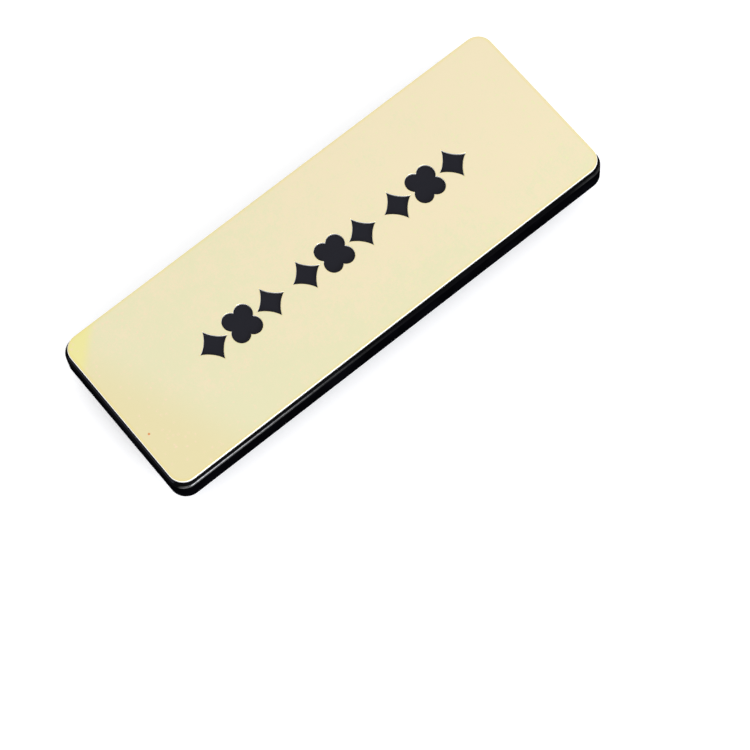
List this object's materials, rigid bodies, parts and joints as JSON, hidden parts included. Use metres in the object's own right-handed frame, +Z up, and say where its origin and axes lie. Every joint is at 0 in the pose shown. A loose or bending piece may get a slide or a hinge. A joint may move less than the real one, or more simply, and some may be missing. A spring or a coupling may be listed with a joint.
{
  "type": "name badge",
  "caption": "Oblong name badge: gold face sheet on a thick black plate, with a steel bar behind it that a separate magnet holder grips.",
  "frame": {"origin": "on the surface that the badge lies on, under the middle of its plate", "axes": "+X along the badge, +Y towards its top edge, +Z up out of the gold face"},
  "size_m": [0.0762, 0.028, 0.0091],
  "materials": {
    "plate_plastic": "black moulded plastic, satin gloss, with a sawn grain on the short ends",
    "gold_sheet": "satin, pale gold anodised",
    "foam_tape": "dull foam tape with a ragged edge",
    "nickel_steel": "bright nickel plate over pressed steel",
    "nickel_magnet": "nickel-plated magnet, streaked",
    "cover_plastic": "dark grey moulded plastic, satin"
  },
  "bodies": {
    "holder": {"magnet_cover": "cover_plastic", "magnet_bar": "nickel_magnet"},
    "badge": {"backing_plate": "plate_plastic", "face_sheet": "gold_sheet", "adhesive_tape": "foam_tape", "steel_bar": "nickel_steel"}
  },
  "joints": [
    {"name": "badge_lift", "type": "slide", "parent": "holder", "child": "badge", "axis": [0, 0, 1], "range_m": [0, 0.02]}
  ]
}
